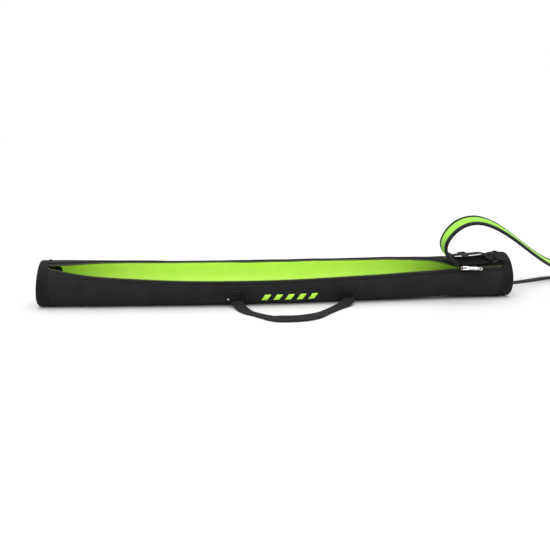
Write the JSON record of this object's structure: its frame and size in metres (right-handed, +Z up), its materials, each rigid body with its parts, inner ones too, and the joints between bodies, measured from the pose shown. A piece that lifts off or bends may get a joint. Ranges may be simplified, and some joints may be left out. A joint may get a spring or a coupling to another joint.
{
  "type": "stand carrying bag",
  "caption": "Long padded tubular carrying bag for a folded stand, with a zip along its length, a webbing carry handle and a padded shoulder strap.",
  "frame": {"origin": "on the floor under the middle of the bag's tube", "axes": "+X along the bag towards the closed end of the zip, -Y towards the side with the zip and the carry handle, +Z up"},
  "size_m": [1.3255, 0.422, 0.1933],
  "materials": {
    "shell_fabric": "matte coarse plain weave",
    "foam": "soft closed-cell foam",
    "lining_fabric": "smooth thin weave",
    "piping_fabric": "rolled edge",
    "tape_fabric": "fine twill tape",
    "coil_plastic": "satin",
    "slider_metal": "satin nickel",
    "pull_metal": "polished nickel",
    "stop_metal": "satin",
    "patch_fabric": "matte coarse plain weave",
    "webbing": "ribbed flat weave",
    "ring_metal": "black satin",
    "glide_plastic": "satin",
    "strap_cloth": "matte weave",
    "strap_face": "padded smooth weave",
    "binding_fabric": "folded tape",
    "print_ink": "flat print"
  },
  "bodies": {
    "bag": {"outer_shell": "shell_fabric", "foam_padding": "foam", "lining": "lining_fabric", "cap_shell_left": "shell_fabric", "cap_foam_left": "foam", "cap_lining_left": "lining_fabric", "cap_piping_left": "piping_fabric", "cap_shell_right": "shell_fabric", "cap_foam_right": "foam", "cap_lining_right": "lining_fabric", "cap_piping_right": "piping_fabric", "zip_tape_front": "tape_fabric", "zip_tape_back": "tape_fabric", "zip_coil_front": "coil_plastic", "zip_coil_back": "coil_plastic", "zip_stops": "stop_metal", "handle_patch_left": "patch_fabric", "handle_patch_right": "patch_fabric", "handle_rivet": "stop_metal", "strap_webbing": "strap_cloth", "strap_lining": "strap_face", "strap_binding_front": "binding_fabric", "strap_binding_back": "binding_fabric", "d_ring_left": "ring_metal", "d_ring_right": "ring_metal", "anchor_tab_left": "webbing", "anchor_tab_right": "webbing", "adjuster_webbing": "webbing", "strap_tail_left": "webbing", "printed_bars": "print_ink"},
    "zip_slider": {"slider_body": "slider_metal", "slider_bridge": "slider_metal"},
    "zip_pull": {"pull_tab": "pull_metal"},
    "carry_handle": {"handle_webbing": "webbing"},
    "strap_glide": {"tri_glide": "glide_plastic"}
  },
  "joints": [
    {"name": "zip_slide", "type": "slide", "parent": "bag", "child": "zip_slider", "axis": [1, 0, 0], "range_m": [0, 0.07]},
    {"name": "pull_hinge", "type": "hinge", "parent": "zip_slider", "child": "zip_pull", "pos_m": [0.4076, -0.04749, 0.07654], "axis": [0, -0.4975, -0.8675], "range_deg": [0, 120]},
    {"name": "handle_swing", "type": "hinge", "parent": "bag", "child": "carry_handle", "pos_m": [0.026, -0.05, 0.026], "axis": [-1, 0, 0], "range_deg": [0, 85]},
    {"name": "glide_slide", "type": "slide", "parent": "bag", "child": "strap_glide", "axis": [0.9983, 0, 0.0576], "range_m": [0, 0.018]}
  ]
}
